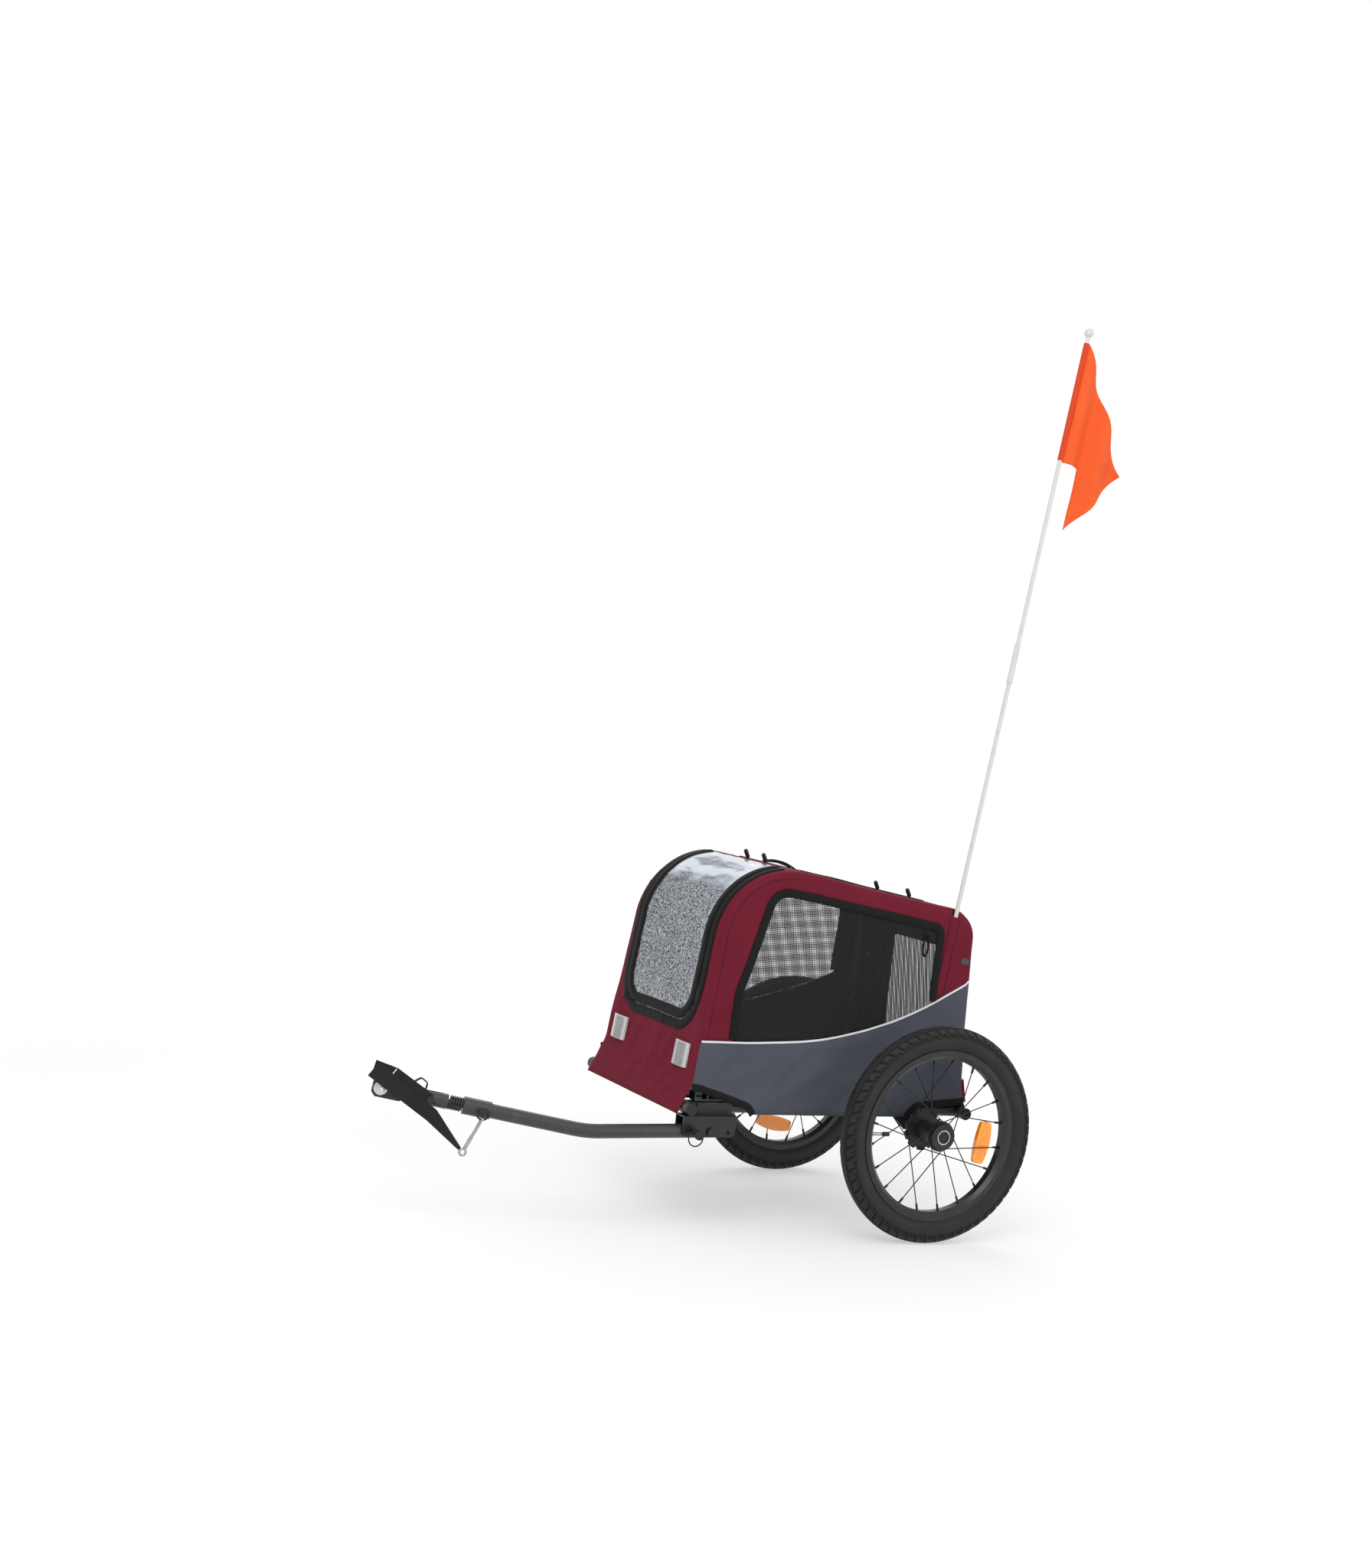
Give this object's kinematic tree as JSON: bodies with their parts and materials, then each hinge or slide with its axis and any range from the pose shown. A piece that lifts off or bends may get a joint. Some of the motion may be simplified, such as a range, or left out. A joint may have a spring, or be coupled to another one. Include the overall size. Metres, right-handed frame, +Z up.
{
  "type": "dog bike trailer",
  "caption": "Two-wheeled dog bike trailer with a fabric cabin on a tube base, mesh windows, spoked wheels, folding side hoops, an offset tow bar with sprung hitch and a safety flag.",
  "frame": {"origin": "on the ground, midway between the tyres' lowest points, below the axles", "axes": "+Z up, -Y towards the front where the tow bar leads, +X the trailer's left side"},
  "size_m": [0.6176, 1.3533, 1.7155],
  "materials": {
    "frame_tube": "dark grey powder coat",
    "tow_tube": "grey powder coat",
    "black_metal": "satin black",
    "black_plastic": "moulded, fine grain",
    "steel": "zinc plated",
    "spoke_steel": "black wire",
    "tyre_rubber": "black, moulded tread",
    "upper_cloth": "burgundy woven nylon",
    "lower_cloth": "blue-grey woven nylon",
    "net": "open black net",
    "clear_film": "clear film over net",
    "clear_lens": "prismatic",
    "red_lens": "prismatic",
    "amber_lens": "prismatic",
    "mast_white": "white glass fibre",
    "flag_cloth": "orange sheet",
    "webbing": "black webbing"
  },
  "bodies": {
    "chassis": {"front_cross_tube": "frame_tube", "rear_cross_tube": "frame_tube", "left_rail": "frame_tube", "right_rail": "frame_tube", "tube_end_caps": "black_plastic", "floor_board": "black_plastic", "left_wheel_mount": "frame_tube", "right_wheel_mount": "frame_tube", "left_axle": "steel", "right_axle": "steel", "tow_bracket": "black_metal", "tow_pivot_bolt": "steel", "side_frame_hinges": "frame_tube", "flag_socket": "black_plastic", "front_panel": "upper_cloth", "roof_panel": "upper_cloth", "rear_panel": "upper_cloth", "left_side_panel": "upper_cloth", "right_side_panel": "upper_cloth", "left_skirt": "lower_cloth", "right_skirt": "lower_cloth", "left_window": "net", "right_window": "net", "front_reflectors": "clear_lens", "rear_reflectors": "red_lens", "roof_toggles": "black_plastic"},
    "left_wheel": {"left_tyre": "tyre_rubber", "left_rim": "black_metal", "left_spokes": "spoke_steel", "left_hub": "black_plastic", "left_spoke_reflector": "amber_lens"},
    "right_wheel": {"right_tyre": "tyre_rubber", "right_rim": "black_metal", "right_spokes": "spoke_steel", "right_hub": "black_plastic", "right_spoke_reflector": "amber_lens"},
    "left_button": {"left_axle_button": "black_plastic"},
    "right_button": {"right_axle_button": "black_plastic"},
    "left_hoop": {"left_side_frame": "frame_tube"},
    "right_hoop": {"right_side_frame": "frame_tube"},
    "front_flap": {"front_door": "clear_film"},
    "rear_flap": {"rear_door": "net"},
    "tow_bar": {"tow_arm": "tow_tube", "clamp_sleeve": "tow_tube", "clamp_bolt": "steel", "strap_ring": "steel", "spring_core": "steel", "safety_strap": "webbing", "snap_hook": "steel"},
    "snap_gate": {"snap_bolt": "steel"},
    "coupling": {"coupling_spring": "steel"},
    "hitch_head": {"hitch_neck": "black_metal", "neck_bolt": "steel", "hitch_plate": "black_metal", "hitch_bolt": "steel"},
    "pull_pin": {"lock_pin": "black_plastic"},
    "mast": {"mast_lower": "mast_white"},
    "mast_top": {"mast_upper": "mast_white", "flag": "flag_cloth", "mast_ball": "mast_white"}
  },
  "joints": [
    {"name": "left_wheel_spin", "type": "hinge", "parent": "chassis", "child": "left_wheel", "pos_m": [0.282, 0, 0.2], "axis": [1, 0, 0], "continuous": true},
    {"name": "right_wheel_spin", "type": "hinge", "parent": "chassis", "child": "right_wheel", "pos_m": [-0.282, 0, 0.2], "axis": [1, 0, 0], "continuous": true},
    {"name": "left_button_press", "type": "slide", "parent": "chassis", "child": "left_button", "axis": [-1, 0, 0], "range_m": [0, 0.003], "stiffness_N_per_m": 500},
    {"name": "right_button_press", "type": "slide", "parent": "chassis", "child": "right_button", "axis": [1, 0, 0], "range_m": [0, 0.003], "stiffness_N_per_m": 500},
    {"name": "left_side_fold", "type": "hinge", "parent": "chassis", "child": "left_hoop", "pos_m": [0.176, 0, 0.308], "axis": [0, -1, 0], "range_deg": [0, 86]},
    {"name": "right_side_fold", "type": "hinge", "parent": "chassis", "child": "right_hoop", "pos_m": [-0.176, 0, 0.284], "axis": [0, 1, 0], "range_deg": [0, 86]},
    {"name": "front_flap_open", "type": "hinge", "parent": "chassis", "child": "front_flap", "pos_m": [0, -0.30628, 0.65255], "axis": [-1, 0, 0], "range_deg": [0, 100]},
    {"name": "rear_flap_open", "type": "hinge", "parent": "chassis", "child": "rear_flap", "pos_m": [0, 0.10774, 0.51985], "axis": [1, 0, 0], "range_deg": [0, 100]},
    {"name": "tow_bar_fold", "type": "hinge", "parent": "chassis", "child": "tow_bar", "pos_m": [0.196, -0.428, 0.184], "axis": [1, 0, 0], "range_deg": [0, 165], "deforming": ["safety_strap"]},
    {"name": "snap_gate_slide", "type": "slide", "parent": "tow_bar", "child": "snap_gate", "axis": [-0.0984, -0.4086, -0.9074], "range_m": [0, 0.006], "stiffness_N_per_m": 200},
    {"name": "coupling_yaw", "type": "hinge", "parent": "tow_bar", "child": "coupling", "pos_m": [0.1376, -0.88697, 0.21273], "axis": [0.0353, 0.1355, 0.9901], "range_deg": [-30, 30], "stiffness_Nm_per_rad": 60, "deforming": ["coupling_spring", "spring_core", "safety_strap"]},
    {"name": "coupling_pitch", "type": "hinge", "parent": "coupling", "child": "hitch_head", "pos_m": [0.1376, -0.88697, 0.21273], "axis": [-0.9676, 0.2523, 0], "range_deg": [-20, 20], "stiffness_Nm_per_rad": 90, "deforming": ["coupling_spring", "spring_core", "safety_strap"]},
    {"name": "pull_pin_slide", "type": "slide", "parent": "chassis", "child": "pull_pin", "axis": [1, 0, 0], "range_m": [-0.01, 0.004]},
    {"name": "mast_lift", "type": "slide", "parent": "chassis", "child": "mast", "axis": [0, 0.1296, 0.9916], "range_m": [0, 0.3]},
    {"name": "mast_top_pull", "type": "slide", "parent": "mast", "child": "mast_top", "axis": [0, 0.1296, 0.9916], "range_m": [0, 0.04]}
  ],
  "couplings": [
    {"joint": "right_side_fold", "follows": "left_side_fold", "ratio": 1}
  ]
}
